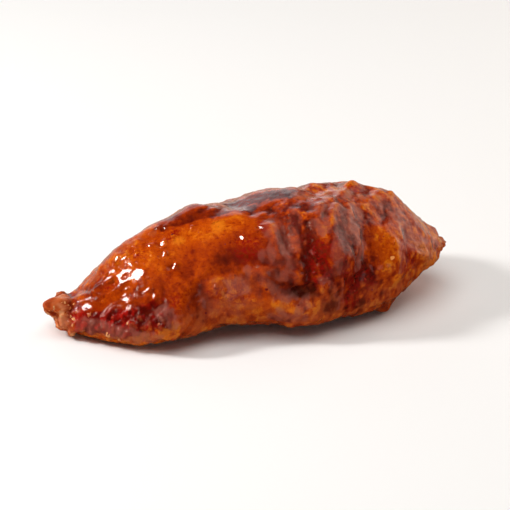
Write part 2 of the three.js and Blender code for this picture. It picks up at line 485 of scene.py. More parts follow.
# %% Folds
# A fold is a path of (along, facing) points, half its width in mm and its depth in mm.
FOLDS = [
    # the front: the long lower fold, the two grooves, and the rim of the ragged end
    ([(0.24, -16), (0.30, 3), (0.357, 10), (0.44, 2), (0.5, -2), (0.55, -5)], 1.2, 0.6),
    ([(0.625, 72), (0.6, 51), (0.595, 34), (0.583, 18), (0.565, 2)], 1.1, 0.4),
    ([(0.75, 70), (0.742, 44), (0.73, 23), (0.718, 4), (0.69, -10)], 1.0, 0.15),
    ([(0.2, 3), (0.225, 4), (0.25, -8)], 1.0, 0.35),
    ([(0.50, 4), (0.525, 6), (0.55, -3), (0.58, -10)], 1.3, 0.8),
    # the wrinkles that gather between the grooves, and those below the bulge
    ([(0.585, -7), (0.615, -3), (0.655, 7), (0.685, 30)], 0.6, 0.32),
    ([(0.59, -13), (0.63, -10), (0.68, 2), (0.708, 22)], 0.55, 0.3),
    ([(0.605, -18), (0.65, -15), (0.69, -8), (0.712, 4)], 0.55, 0.3),
    ([(0.575, -2), (0.6, 2), (0.635, 12), (0.65, 22)], 0.5, 0.26),
    ([(0.49, -20), (0.53, -24), (0.57, -22), (0.61, -28)], 0.7, 0.3),
    ([(0.70, 62), (0.688, 45), (0.697, 35), (0.70, 26), (0.68, 14)], 0.45, 0.35),
    ([(0.667, 66), (0.678, 58), (0.665, 48)], 0.4, 0.25),
    ([(0.46, 24), (0.49, 21), (0.525, 20)], 0.6, 0.35),
    ([(0.445, 11), (0.47, 9), (0.505, 5), (0.53, 6)], 0.6, 0.4),
    ([(0.77, -6), (0.81, -2), (0.835, 8), (0.845, 22), (0.855, 34)], 0.7, 0.34),
    ([(0.86, -2), (0.875, 12), (0.893, 28), (0.9, 40)], 0.6, 0.26),
    ([(0.74, -24), (0.79, -28), (0.83, -34)], 0.8, 0.4),
    # the top: the step of the flat face, and the ridge to the wedge
    ([(0.27, 100), (0.34, 92), (0.41, 86), (0.48, 82), (0.54, 82)], 1.6, 0.3),
    ([(0.62, 98), (0.69, 82), (0.76, 70), (0.84, 60), (0.9, 52)], 1, 0.25),
    ([(0.79, 110), (0.8, 95), (0.79, 82)], 0.87, 0.42),
    # the back
    ([(0.16, 176), (0.26, 168), (0.36, 176), (0.44, 188)], 1.2, 0.59),
    ([(0.395, 120), (0.4, 145), (0.41, 170)], 1.3, 0.59),
    ([(0.48, 192), (0.58, 187), (0.68, 190), (0.76, 200)], 1.3, 0.68),
    ([(0.635, 118), (0.63, 145), (0.64, 172)], 1.2, 0.59),
    ([(0.66, 150), (0.71, 158), (0.77, 152), (0.83, 165)], 0.87, 0.42),
]
print("folds:", len(FOLDS))

# %% Pleats
# A pleat leans. It is a path, the mm over which it rises on the ragged end's side, the mm over which it falls
# on the other side, and its height in mm.
PLEATS = [
    ([(0.47, 74), (0.475, 50), (0.465, 22)], 10.0, 5.0, 0.6),
    ([(0.615, 74), (0.6, 48), (0.578, 18)], 5.0, 3.6, -0.3),
    ([(0.575, 76), (0.565, 57), (0.558, 43), (0.555, 27), (0.545, 12)], 2.2, 3.0, 0.4),
    ([(0.672, 70), (0.66, 52), (0.652, 36), (0.642, 22), (0.645, 10)], 2.2, 4.6, 0.6),
    ([(0.718, 62), (0.712, 46), (0.71, 34), (0.712, 20), (0.69, 8)], 1.2, 1.6, 0.4),
    ([(0.80, 76), (0.815, 54), (0.825, 34), (0.815, 10)], 5.0, 4.5, 0.8),
    ([(0.435, 118), (0.44, 150), (0.45, 176)], 2.5, 3.5, 0.8),
    ([(0.67, 120), (0.67, 150), (0.68, 176)], 3.0, 4.0, 0.9),
]

print("pleats:", len(PLEATS))

# %% Add up the folds and pleats
LIP = 0.4  # height of the swollen lip as a share of the fold's depth

raised = np.zeros(len(start))
for path, wide, deep in FOLDS:
    gap = beside(path) + 0.9 * wander * wide + 0.35 * fine_wander
    valley = np.exp(-np.abs(gap / wide) ** 1.5) * (0.75 + 0.6 * fine_wander)
    upper_lip = np.exp(-(((gap - 2.4 * wide) / (1.7 * wide)) ** 2))
    lower_lip = np.exp(-(((gap + 2.0 * wide) / (1.4 * wide)) ** 2))
    raised += deep * (LIP * upper_lip + 0.5 * LIP * lower_lip - valley)
for path, before, after, high in PLEATS:
    gap = beside(path) + 0.9 * wander + 0.3 * fine_wander
    raised += high * np.exp(-((gap / np.where(gap < 0, before, after)) ** 2)) * (0.8 + 0.4 * wander)
print("folds reach from", round(raised.min(), 2), "to", round(raised.max(), 2), "mm")

# %% [markdown]
# ## Crust relief
#
# A fried coat is a paving of tilted flakes with finer lumps on them. Noises of several sizes make it, each
# weaker where the glaze lies thick. The ends and the lower rim are ragged, and at the very tip the crust
# broke off in clumps. There, and where bits stick along the fold near the tip, round bits are packed side by
# side, and each has a height and a tone of its own.

# %% Crust relief
skirt = ramp(0.2, 2.6, start[:, 2])  # 0 on the flat underside
ends = np.clip(np.minimum(along * length / 5, (1 - along) * length / 4), 0.35, 1)  # less at the two ends
GIRDLE = (1.5, 0.7, 0.7)  # longer round the strip than along it

raised += 0.35 * field(9, fractal, shift=1.7) * (0.4 + 0.6 * rough)
raised += (0.2 + 0.7 * rough) * field(5.5, plates, shift=2.9, squeeze=GIRDLE)
raised += (0.15 + 0.45 * rough) * field(3.4, plates, shift=7.7, squeeze=(1.2, 0.85, 0.85))

calm = np.clip(1.3 * patch(0.11, 24, 5.0, 5.5), 0, 1)  # pooled glaze near the tip
raised *= 1 - 0.6 * calm
pimply = ramp(0.36, 0.2, along) * ramp(-30, -10, facing) * ramp(125, 100, facing)
fine = (0.06 + 0.3 * rough) * (field(3.0, lumps, shift=5.2, squeeze=GIRDLE) - 0.32)
fine += (0.1 + 0.45 * rough) * field(2.2, plates, shift=9.4, squeeze=GIRDLE)
fine += (0.06 + 0.1 * rough) * field(1.3, shift=4.3, squeeze=GIRDLE)
fine += 0.16 * pimply * (field(1.8, lumps, shift=11.1) - 0.3)
fine *= 1 - 0.8 * calm
print("grain, mm:", fine.min().round(2), "to", fine.max().round(2))

# %% Ragged ends, clumps and soaked bits
ragged = np.maximum(ramp(0.09, 0.02, along), ramp(0.93, 0.99, along))
ragged = np.maximum(ragged, 0.9 * ramp(4, -12, facing) * ramp(-80, -60, facing) * ramp(0.28, 0.2, along))
ragged = np.maximum(ragged, 0.3 * ramp(-18, -40, facing) * ramp(-80, -60, facing))
crumbly = ragged * 1.3 * (field(2.0, lumps, shift=6.6) - 0.28)

torn = ramp(0.075, 0.02, along)  # the very tip, where the crust broke off in clumps
cluster = stroke([(0.065, 4), (0.1, -3), (0.14, -5), (0.19, -5), (0.225, -4)], 2.8)  # bits soaked in sauce
pebbly = np.maximum(torn, cluster)
large_bits = field(2.3, pebbles, shift=3.3, where=torn)
small_bits = field(1.3, pebbles, shift=6.4, where=torn)
crumbly += torn * (0.8 * large_bits + 0.9 * small_bits)
pressed_bits = field(1.7, pebbles, shift=4.1, where=cluster) + field(1.2, pebbles, shift=2.7, where=cluster)
crumbly += 0.22 * cluster * pressed_bits
crumbly += torn * 1.6 * field(3.4, plates, shift=3.3, where=torn)

tone = 0.5 * field(2.3, pebble_tone, shift=3.3, where=torn)  # how pale each bit is
tone += 0.5 * field(1.7, pebble_tone, shift=4.1, where=cluster)
tone += 0.5 * field(1.1, pebble_tone, shift=5.9, where=pebbly) - 0.3 * patch(0.188, -6, 4, 3)
print("torn and pebbly:", round(100 * (pebbly > 0.5).mean(), 1), "% of the skin")

# %% [markdown]
# ## Raising the relief
#
# The large forms are raised along the smooth normals of the bare skin, so a lump leans away from the meat
# as it does in real life. The tip and some of the edges are drawn out next. Then come the facets, and after
# them the grain. Last of all the glaze runs into the hollows and levels them, except where the crust is
# ragged and dry. The underside stays flat, and nothing sinks below it.

# %% Raise the forms
pairs = np.array([edge.vertices[:] for edge in skin.data.edges])
touching = np.bincount(pairs.ravel(), minlength=len(start))[:, None]


def relaxed(values, rounds):
    """Each vertex takes the mean of its neighbours and itself, a few times over."""
    for _ in range(rounds):
        total = values.copy()
        for column in range(values.shape[1]):
            total[:, column] += np.bincount(pairs[:, 0], values[pairs[:, 1], column], len(values))
            total[:, column] += np.bincount(pairs[:, 1], values[pairs[:, 0], column], len(values))
        values = total / (touching + 1)
    return values


def set_places(places):
    skin.data.vertices.foreach_set("co", (places * MM).ravel())
    skin.data.update()


def unit(rows):
    return rows / np.linalg.norm(rows, axis=1)[:, None]


smooth_start = relaxed(start, 6)
smooth_start[:, 2] = np.where(start[:, 2] < 0.05, start[:, 2], smooth_start[:, 2])
set_places(smooth_start)
normals = unit(relaxed(rows_of(skin.data.vertex_normals, "vector"), 8))
moved = relaxed(smooth_start + normals * (raised * ends * skirt)[:, None], 2)
print("relief from", round(raised.min(), 2), "to", round(raised.max(), 2), "mm")

# %% Pull out the tip and the edges
# The skin is drawn out as clay is pinched: a spot, its reach in mm, the way it goes and how many mm.
PULLS = [
    ((0.014, 60), 1.8, (-1.0, -0.25, 0.2), 3.6),  # the spur at the tip
    ((0.05, -30), 1.0, (0.3, 0.4, 1.0), 1.4),  # the notch below it
    ((0.035, -34), 0.9, (-0.3, -0.5, -0.8), 1.2),  # a splinter beside the notch
    ((0.79, -42), 2.6, (0.2, -0.6, -0.8), 1.9),  # the lump under the wedge
    ((0.765, 102), 2.2, (0.0, 0.3, 1.0), 1.5),  # two bumps on the back edge, with a dent between
    ((0.803, 94), 1.6, (0.0, 0.2, -1.0), 0.7),
    ((0.85, 84), 1.8, (0.3, 0.2, 1.0), 1.0),
    ((0.895, 66), 1.2, (0.4, 0.0, -1.0), 0.7),
    ((0.97, 75), 3.5, (-0.2, 0.0, -1.0), 1.1),  # the wedge's edge, pinched to a point
    ((0.96, -50), 3.5, (-0.3, 0.3, 1.0), 0.8),
    ((0.99, 10), 1.6, (1.0, 0.0, 0.1), 0.8),
]
for spot, reach, way, far in PULLS:
    hold = np.exp(-(np.hypot(*offset(*spot)) / reach) ** 2)
    moved = moved + np.array(Vector(way).normalized()) * (hold * far)[:, None]
print("pulls:", len(PULLS))

# %% [markdown]
# ## Facets
#
# Set glaze is not evenly bumpy: it pulls flat between the folds, and each flat place mirrors one thing as a
# whole. A facet is made as with a sculptor's flatten brush: the skin round a spot is pressed onto a plane.
# The plane looks halfway between the viewer and the lamp that the facet mirrors.

# %% Slopes and facets
def lit_by(lamp, *rows):
    """Facets that mirror one lamp."""
    return [(*row, lamp) for row in rows]


# A row is along, facing, reach along, reach round, turn, share, and the lamp that it mirrors or the way that
# it looks (azimuth, elevation).
SLOPES = [  # broad, with soft edges
    (0.11, 30, 6.0, 6.0, 0, 0.9, (-34, 34)), (0.15, 4, 6.0, 4.0, 10, 0.6, (-30, 24)),
    (0.245, 14, 4.0, 2.6, 0, 0.6, (-30, 30)), (0.62, 40, 2.8, 6.0, 0, 0.75, (-18, 46)),
    (0.785, 22, 4.0, 5.0, 0, 0.6, (-12, 34)), (0.36, 48, 8.0, 4.0, 0, 0.5, (-22, 50)),
    (0.52, 110, 9.0, 6.0, 0, 0.8, "backdrop"), (0.355, -9, 5.0, 3.0, -4, 0.7, (-12, 8)),
]
FACETS = [  # with crisp edges
    *lit_by(
        "sheen",
        (0.642, 60, 1.9, 4.0, 0, 0.9), (0.678, 50, 2.3, 4.0, 0, 0.95), (0.67, 29, 2.5, 4.6, 0, 0.95),
        (0.715, 36, 1.3, 4.6, -4, 0.9), (0.875, 20, 3.2, 4.6, 8, 0.9), (0.895, 4, 2.0, 2.0, 0, 0.8),
        (0.846, 43, 2.4, 1.8, -20, 0.8), (0.735, 56, 1.5, 2.2, 0, 0.9), (0.815, 66, 3.4, 1.4, 25, 0.8),
        (0.528, 42, 2.2, 5.2, 8, 0.85), (0.566, 50, 1.7, 4.4, 4, 0.45),
    ),
    *lit_by(
        "window",
        (0.4, 4, 6.6, 2.5, -7, 0.95), (0.498, 0, 2.6, 1.0, -24, 0.9), (0.49, 13, 2.4, 1.3, -20, 0.8),
        (0.552, -11, 1.8, 1.2, 0, 0.8),
    ),
    (0.54, -6, 3.0, 2.0, 0, 0.6, (-6, 20)),
    *lit_by(
        "backdrop",
        (0.515, 114, 7.0, 3.6, 0, 0.9), (0.39, 101, 2.4, 1.1, 0, 0.8), (0.557, 88, 2.4, 1.1, 0, 0.8),
        (0.5, 78, 2.2, 0.9, 0, 0.8), (0.71, 88, 3.0, 2.0, 0, 0.7),
    ),
]
print("slopes:", len(SLOPES), "facets:", len(FACETS))

# %% Glints and droplets
GLINTS = [  # pressed into the set glaze
    # the dull ones, which part the sparks from each other
    (0.138, 30, 3.4, 2.8, 0, 1.0, (-32, 32)), (0.118, 58, 2.6, 2.8, 30, 1.0, (-36, 62)),
    (0.1, 26, 2.0, 2.6, 0, 0.9, (-30, 30)), (0.14, 78, 2.0, 2.2, 0, 0.9, (-44, 64)),
    # the two arms of the largest spark, and the rest from the tip onwards
    *lit_by(
        "key",
        (0.14, 80, 1.0, 1.1, 0, 1.0), (0.131, 70, 0.9, 1.2, 0, 1.0), (0.158, 33, 0.8, 0.9, 0, 1.0),
        (0.153, 25, 0.7, 0.9, 0, 1.0), (0.163, 54, 1.9, 3.3, 0, 1.0), (0.19, 47, 1.9, 2.0, -30, 1.0),
        (0.074, 33, 1.3, 1.3, 30, 1.0), (0.087, 14, 0.8, 0.8, 0, 1.0), (0.155, 7, 1.0, 1.1, 0, 1.0),
        (0.154, 17, 0.8, 0.9, 0, 1.0), (0.2, 21, 1.3, 0.8, 20, 1.0), (0.213, 13, 0.9, 1.2, 0, 1.0),
        (0.262, 83, 1.4, 1.2, 20, 1.0), (0.257, 64, 1.3, 1.2, 0, 1.0), (0.274, 40, 1.5, 1.3, 20, 1.0),
        (0.493, 55, 1.1, 1.1, 0, 1.0), (0.443, 45, 1.3, 1.2, 0, 1.0),
    ),
    *lit_by("sheen", (0.605, 16, 0.5, 0.9, -10, 1.0)),
]
# Low domes, each with one small facet that carries a spark: along, facing, radius in mm.
DROPLETS = [
    (0.144, 81, 0.9), (0.131, 72, 1.0), (0.21, 102, 0.9), (0.089, 99, 1.1), (0.262, 108, 0.9),
    (0.281, 102, 1.0), (0.81, 22, 1.0), (0.16, 96, 1.0), (0.175, 84, 1.1), (0.235, 88, 1.1),
    (0.34, 82, 1.0), (0.11, 78, 1.0), (0.36, 6, 1.1), (0.375, 2, 1.0),
]
print("glints:", len(GLINTS), "droplets:", len(DROPLETS))

# %% Press the slopes and facets
SOFT_RIM, CRISP_RIM = 0.7, 0.3


def halfway(place, lamp):
    """The way a facet at a place looks when it mirrors a lamp to the viewer."""
    place = Vector(place) * MM
    looks = (camera.location - place).normalized() + (LAMPS[lamp] - place).normalized()
    return np.array(looks.normalized())


def flatten(places, facets, rim):
    """Presses the skin onto one plane for each facet. rim is how far the edge of a facet fades."""
    for spot_along, spot_facing, reach, spread, turn, share, lamp in facets:
        a, r = offset(spot_along, spot_facing)
        c, s = math.cos(math.radians(turn)), math.sin(math.radians(turn))
        away = (np.abs((a * c + r * s) / reach) ** 3 + np.abs((r * c - a * s) / spread) ** 3) ** (1 / 3)
        away += (0.6 * fine_wander + 0.6 * wander) / max(reach, 3.0)
        weight = share * (1 - ramp(1 - rim, 1 + rim, away))
        centre = (places * weight[:, None]).sum(axis=0) / weight.sum()
        looks = halfway(centre, lamp) if lamp in LAMPS else np.array(direction(*map(math.radians, lamp)))
        places = places - looks * ((places - centre) @ looks * weight)[:, None]
    return places


before = moved
moved = flatten(flatten(moved, SLOPES, SOFT_RIM), FACETS, CRISP_RIM)
print("pressed by up to", np.abs(moved - before).max().round(2), "mm")

# %% Grain and glaze
set_places(moved)
faces_out = unit(relaxed(rows_of(skin.data.vertex_normals, "vector"), 2))
crust = relaxed(moved + faces_out * ((fine * ends + crumbly) * skirt)[:, None], 1)
wet = (1 - np.clip(ragged + 0.8 * pebbly, 0, 1)) * (1 - 0.5 * np.clip(rough, 0, 1))
moved = crust.copy()
FILLS = [(5, 0.9, 0.09), (12, 0.35, 0.0)]  # rounds of smoothing, share of each hollow, mm of film on top
for rounds, share, film in FILLS:
    below = ((relaxed(moved, rounds) - moved) * faces_out).sum(axis=1) + film
    moved += faces_out * (np.maximum(below, 0) * share * wet)[:, None]

ripples = 0.09 * field(1.5, shift=21.3) + 0.04 * field(0.95, shift=17.7)  # crumbs that show through the glaze
ripples *= skirt * (0.5 + 0.9 * pimply)
for spot_along, spot_facing, radius in DROPLETS:
    ripples += 0.3 * radius * patch(spot_along, spot_facing, radius, radius)
moved = relaxed(moved, 1) + faces_out * ripples[:, None]
moved = flatten(moved, GLINTS, CRISP_RIM)
SPARK, AHEAD = 0.65, 0.3  # a droplet's facet, in radii: its reach, and how far it lies towards the key
sparks = lit_by("key", *[
    (spot - AHEAD * size / length, way, SPARK * size, SPARK * size, 0, 1.0) for spot, way, size in DROPLETS
])
moved = flatten(moved, sparks, CRISP_RIM)
print("sparks:", len(sparks))

# %% Last touches on the glaze
dimple = 0.22 * patch(0.163, 53, 0.7, 0.8)  # in the largest glint
moved = moved - faces_out * dimple[:, None]
pit = stroke([(0.545, -1), (0.558, -2), (0.578, -1)], 1.1)
moved = moved - faces_out * (0.9 * pit)[:, None]
for spot in [(0.556, 50, 3.0, 3.5), (0.59, 58, 2.0, 2.5), (0.535, 60, 2.0, 3.0)]:  # pressed smooth
    moved = moved + (relaxed(moved, 12) - moved) * np.minimum(1, 1.4 * patch(*spot))[:, None]
moved[:, 2] = np.maximum(moved[:, 2], 0)
glaze = ((moved - crust) * faces_out).sum(axis=1)
print("glaze, mm: mean", glaze.mean().round(3), "deepest", glaze.max().round(2))
set_places(moved)
skin.data.polygons.foreach_set("use_smooth", np.ones(len(skin.data.polygons), bool))
skin.data.update()

# %% [markdown]
# ## Masks for the glaze
#
# Glaze is thick in the hollows and thin on the ridges, so a hollow is painted darker and redder: partly for
# the thick glaze, and partly as painted shade. How hollow a place is can be measured: it is how far the
# place lies below the mean of its neighbourhood. A narrow and a wide neighbourhood give fine creases and
# whole folds. Browning is patchy, so the golden, crimson and dark places are painted with the same soft
# spots that placed the folds, and with torn strokes. Some of the dark ones are painted shade in grooves, in
# the pit, under the bulge and along the lower edge, and a painted shadow on the flat top, and two golden
# strokes paint light into shaded places.
#
# Dried glaze is never one sheet. Wisps are streaks that run round the strip, and shreds are small torn
# patches. Both break up the dried film with its painted sheen, the bare rims with their painted floor light,
# the ends and the browning. Each mask is saved on the skin as one number for every vertex, for the
# materials to read.

# %% How hollow each place is
def hollow(rounds, depth):
    """0.5 on flat places, towards 1 in hollows and 0 on ridges of about that depth."""
    below = ((relaxed(crust, rounds) - crust) * faces_out).sum(axis=1)
    return np.clip(0.5 + 0.5 * below / depth, 0, 1)


SCALE = 0.4 * MM / GRAIN  # a coarser skin takes fewer rounds
crease = hollow(max(1, round(5 * SCALE**2)), 0.16)
fold_depth = hollow(round(90 * SCALE**2), 0.9)
print("deep places:", round(100 * (fold_depth > 0.75).mean()), "% of the skin")

# %% Spots of colour
# A spot is along, facing, reach and spread. Where two lie over each other they add up.
GOLDEN = [
    (0.785, 20, 4.5, 5.5), (0.36, 66, 10, 4.4), (0.3, 140, 8, 5), (0.75, 160, 6, 5), (0.5, 165, 6, 5),
    (0.43, 96, 5, 3), (0.654, 107, 3, 2.5), (0.82, 72, 3, 3), (0.7, 98, 4, 3),
]
CRIMSON = [
    (0.655, 26, 2, 4), (0.048, 8, 2.4, 5), (0.17, -7, 8, 2.4), (0.1, 2, 4, 2.6), (0.06, 14, 2.5, 3),
    (0.25, 4, 3, 1.5), (0.85, 3, 1.6, 3), (0.385, -3, 3, 1.6), (0.605, 18, 3, 4), (0.45, 30, 3, 3),
    (0.172, 88, 2, 1.5), (0.202, 78, 2, 1.5), (0.126, 55, 1.5, 1.5), (0.118, 92, 1.5, 1.5),
    *[(0.292, 85, 1.9, 1.7)] * 2,  # twice as red as the others
    (0.45, 38, 2.5, 3), (0.2, 175, 7, 4), (0.68, 175, 5, 4), (0.755, 93, 3, 1.6),
]
# dark crust; the spot at (0.555, -2) is painted shade in the pit
DARK_AND_SHADE = [
    (0.82, 66, 3, 2), (0.105, 62, 4, 4), (0.656, 24, 2, 3), (0.7, -2, 5, 4), (0.515, 17, 4, 2.5),
    (0.48, 15, 3, 3), (0.572, 10, 1.5, 4), (0.61, 24, 2.5, 5), (0.555, -2, 3.2, 1.8), (0.52, 30, 5, 8),
    (0.42, 28, 7, 3), (0.64, 6, 3, 3), (0.4, 165, 3, 9), (0.62, 188, 12, 2),
]
print("spots:", len(GOLDEN), len(CRIMSON), len(DARK_AND_SHADE))

# %% Strokes of colour
# A stroke is a path, half its width in mm and its strength. Where two cross, the stronger one holds.
GOLDEN_AND_LIGHT_STROKES = [
    # the first stroke here lightens the shaded groove by the golden bulb: painted light
    ([(0.742, 45), (0.735, 14)], 1.2, 0.7), ([(0.62, 94), (0.69, 85), (0.75, 78)], 2.4, 0.7),
    # the second stroke here lightens the shaded face below the largest spark: painted light
    ([(0.78, 28), (0.79, 16)], 3.0, 0.3), ([(0.125, 28), (0.165, 35)], 2.0, 0.8),
    ([(0.07, -10), (0.11, -16), (0.16, -24)], 2.4, 1.0), ([(0.5, -9), (0.53, -9), (0.56, -8)], 1.5, 1.0),
    ([(0.62, 40), (0.632, 28)], 1.6, 1.3), ([(0.772, 60), (0.786, 48)], 1.2, 1.4),
    ([(0.746, 40), (0.765, 28)], 1.0, 0.9), ([(0.7, 104), (0.745, 100)], 1.8, 1.0),
    ([(0.557, 82), (0.59, 66)], 2.2, 1.4), ([(0.5, -7), (0.52, -8), (0.535, -12)], 1.3, 1.6),
    ([(0.535, -13), (0.553, -9), (0.575, -10)], 0.7, 1.4),
    ([(0.545, -19), (0.57, -15), (0.6, -15)], 0.6, 1.3), ([(0.59, -9), (0.6, -13)], 0.7, 1.2),
    ([(0.72, -13), (0.79, -10), (0.865, -5), (0.91, 6)], 1.8, 0.9), ([(0.22, -14), (0.254, -12)], 1.1, 1.2),
    ([(0.845, 76), (0.87, 60)], 1.6, 1.0), ([(0.88, 68), (0.93, 50), (0.98, 24)], 1.5, 1.2),
    ([(0.97, 0), (0.93, -10), (0.88, -12)], 1.6, 1.0), ([(0.36, 4), (0.44, 2)], 2.4, 0.5),
]
# dark crust, and painted shade in the grooves, the pit, under the bulge and along the lower edge
DARK_AND_SHADE_STROKES = [
    ([(0.68, 3), (0.688, -6), (0.682, -15)], 2.0, 1.1), ([(0.61, -17), (0.66, -21), (0.71, -20)], 1.4, 1.2),
    ([(0.572, 34), (0.576, 20), (0.568, 8)], 1.6, 0.7), ([(0.49, -19), (0.54, -18), (0.6, -22)], 1.1, 1.2),
    # these two long strokes are a painted shadow on the flat top
    ([(0.29, 112), (0.35, 104), (0.42, 98), (0.48, 94)], 3.4, 1.8),
    ([(0.47, 118), (0.55, 110), (0.6, 104)], 3.4, 1.9),
    ([(0.61, 56), (0.59, 34), (0.576, 18), (0.57, 6)], 1.3, 0.6),
    ([(0.545, 0), (0.56, -2), (0.58, -2)], 1.4, 1.5), ([(0.72, 6), (0.715, -2)], 1.0, 0.6),
    ([(0.578, 64), (0.568, 48)], 1.8, 1.2), ([(0.67, -3), (0.69, -10), (0.668, -18)], 1.0, 0.8),
    ([(0.487, 22), (0.521, 21)], 0.9, 0.9), ([(0.456, 10), (0.502, 6)], 0.7, 0.9),
    ([(0.7, 6), (0.73, 0), (0.757, -6)], 1.4, 0.7),
    ([(0.687, 46), (0.697, 35), (0.698, 26), (0.68, 15)], 0.6, 0.7), ([(0.61, 26), (0.606, 12)], 1.6, 0.6),
    ([(0.545, -1), (0.56, -2), (0.58, -1)], 1.2, 1.3), ([(0.51, -14), (0.54, -16), (0.56, -22)], 0.5, 0.9),
    ([(0.564, -13), (0.585, -17), (0.61, -19)], 0.5, 0.9),
    ([(0.49, -12), (0.47, -17), (0.44, -20)], 0.6, 0.6),
    ([(0.6, 50), (0.596, 34), (0.594, 20), (0.588, 6)], 1.6, 1.3), ([(0.545, 82), (0.6, 70)], 2.2, 0.8),
    ([(0.66, 36), (0.646, 18)], 2.2, 1.3),
]
CRIMSON_STROKES = [
    ([(0.68, 3), (0.688, -6), (0.682, -14)], 2.2, 1.6), ([(0.7, 4), (0.74, -4)], 1.8, 0.7),
    ([(0.822, 30), (0.828, 16), (0.815, 0)], 1.0, 0.6),
    ([(0.09, 1), (0.135, -1), (0.182, -4), (0.22, -5)], 2.2, 1.5), ([(0.498, 62), (0.498, 52)], 1.0, 1.2),
    ([(0.43, 33), (0.467, 28)], 1.0, 0.9), ([(0.734, 93), (0.776, 93)], 1.3, 1.2),
    ([(0.35, 2), (0.365, -3)], 1.0, 1.2), ([(0.843, 12), (0.852, -3)], 1.9, 2.6),
    ([(0.4, -6), (0.45, -7)], 0.7, 1.0), ([(0.615, 26), (0.61, 18), (0.604, 8)], 2.2, 1.3),
]
FILM_AND_SHEEN_STROKES = [  # glaze that dried to a pale film, with a painted sheen on it
    ([(0.49, -19), (0.56, -19)], 1.3, 0.6),
    ([(0.521, 62), (0.528, 47), (0.534, 33), (0.536, 25)], 1.9, 0.9),
    ([(0.585, 71), (0.572, 57), (0.563, 43), (0.558, 32)], 1.7, 0.5),
    ([(0.639, 72), (0.643, 54), (0.625, 43)], 2.2, 1.5), ([(0.672, 60), (0.69, 38)], 2.4, 1.2),
    ([(0.67, 34), (0.664, 26), (0.65, 14)], 2.2, 0.6),
    ([(0.7, 53), (0.712, 34), (0.718, 21), (0.7, 8)], 1.2, 1.2),
    ([(0.605, 4), (0.631, 10), (0.665, 12)], 0.9, 0.6), ([(0.86, 32), (0.878, 14), (0.91, 3)], 2.2, 0.7),
    ([(0.826, 12), (0.818, -1)], 0.9, 0.8), ([(0.822, 51), (0.849, 39), (0.866, 34)], 1.2, 0.9),
    ([(0.726, 60), (0.742, 52)], 1.4, 0.9), ([(0.784, 78), (0.813, 63), (0.854, 54)], 1.1, 0.8),
    ([(0.689, 87), (0.726, 68)], 1.2, 0.7), ([(0.441, 14), (0.475, 9), (0.497, 2)], 1.2, 0.9),
    ([(0.474, 7), (0.498, 0), (0.525, -5)], 1.2, 1.3),
    ([(0.547, -14), (0.557, -12), (0.567, -9)], 1.1, 1.5), ([(0.53, -1), (0.545, -6)], 0.6, 1.0),
    ([(0.62, 96), (0.69, 87), (0.75, 80)], 2.8, 1.2), ([(0.5, -12), (0.515, -15)], 0.6, 0.9),
    ([(0.624, 3), (0.646, -12), (0.647, -20)], 0.6, 0.6), ([(0.657, 0), (0.658, -15)], 0.5, 0.5),
    ([(0.231, -2), (0.247, -8)], 1.6, 1.5),
    ([(0.063, -2), (0.11, -12), (0.162, -22), (0.205, -22)], 1.7, 1.6),
    ([(0.345, 5), (0.41, 4), (0.45, 4)], 2.4, 0.5), ([(0.33, -8), (0.41, -10)], 2.0, 0.3),
    ([(0.507, 52), (0.51, 36), (0.503, 26)], 1.4, 0.8), ([(0.487, 25), (0.51, 22), (0.54, 20)], 1.8, 0.7),
    ([(0.475, 14), (0.53, 11)], 1.3, 0.7), ([(0.67, 77), (0.71, 75), (0.745, 72)], 0.9, 0.8),
    ([(0.79, 84), (0.81, 74), (0.83, 62)], 0.9, 0.8),
]
print("strokes:", len(GOLDEN_AND_LIGHT_STROKES), len(DARK_AND_SHADE_STROKES), len(CRIMSON_STROKES), len(FILM_AND_SHEEN_STROKES))

# %% Paint the spots and strokes
def spotted(spots):
    return sum(patch(*spot) for spot in spots)


def painted(strokes):
    return np.max([strength * stroke(path, wide) for path, wide, strength in strokes], axis=0)


golden_and_light = spotted(GOLDEN) + painted(GOLDEN_AND_LIGHT_STROKES)
dark_and_shade = spotted(DARK_AND_SHADE) + painted(DARK_AND_SHADE_STROKES)
crimson = spotted(CRIMSON) + painted(CRIMSON_STROKES) + 0.2 * fine_wander
wisps = ramp(-0.2, 0.28, field(3.0, fractal, shift=23.7, squeeze=(1.6, 0.6, 0.6)))
shreds = ramp(-0.2, 0.28, field(2.6, fractal, shift=27.1))
film_and_sheen_mask = painted(FILM_AND_SHEEN_STROKES) * (0.35 + 0.8 * wisps)
print("painted:", ", ".join(f"{part.mean():.2f}" for part in (golden_and_light, dark_and_shade, crimson, film_and_sheen_mask)))

# %% Browning
dry = ramp(0.4, 0.8, rough)
# from the ragged end to the wedge, then the smooth front by the ragged end
browning = 0.37 + 0.15 * ramp(0.44, 0.56, along) - 0.14 * ramp(0.82, 0.9, along) - 0.03 * ramp(5, -15, facing)
browning += 0.14 * ramp(50, 15, facing) * ramp(0.4, 0.3, along) * ramp(-20, 2, facing)
# the painted places, among them painted shade and painted light, and the paler ridge over the wedge half
browning += 0.26 * np.clip(dark_and_shade, 0, 1.4) - 0.24 * np.clip(golden_and_light, 0, 1.5) * (1 - 0.6 * np.clip(dark_and_shade, 0, 1))
browning -= 0.08 * ramp(55, 70, facing) * ramp(120, 105, facing) * ramp(0.58, 0.64, along)
# broad, faint spots along the long fold and above it
browning += 0.09 * patch(0.36, -12, 13, 5) + 0.09 * patch(0.26, -13, 5, 3)
browning += 0.06 * patch(0.32, 24, 9, 5) + 0.05 * patch(0.12, 40, 4.5, 4) + 0.06 * patch(0.22, 40, 7, 5)
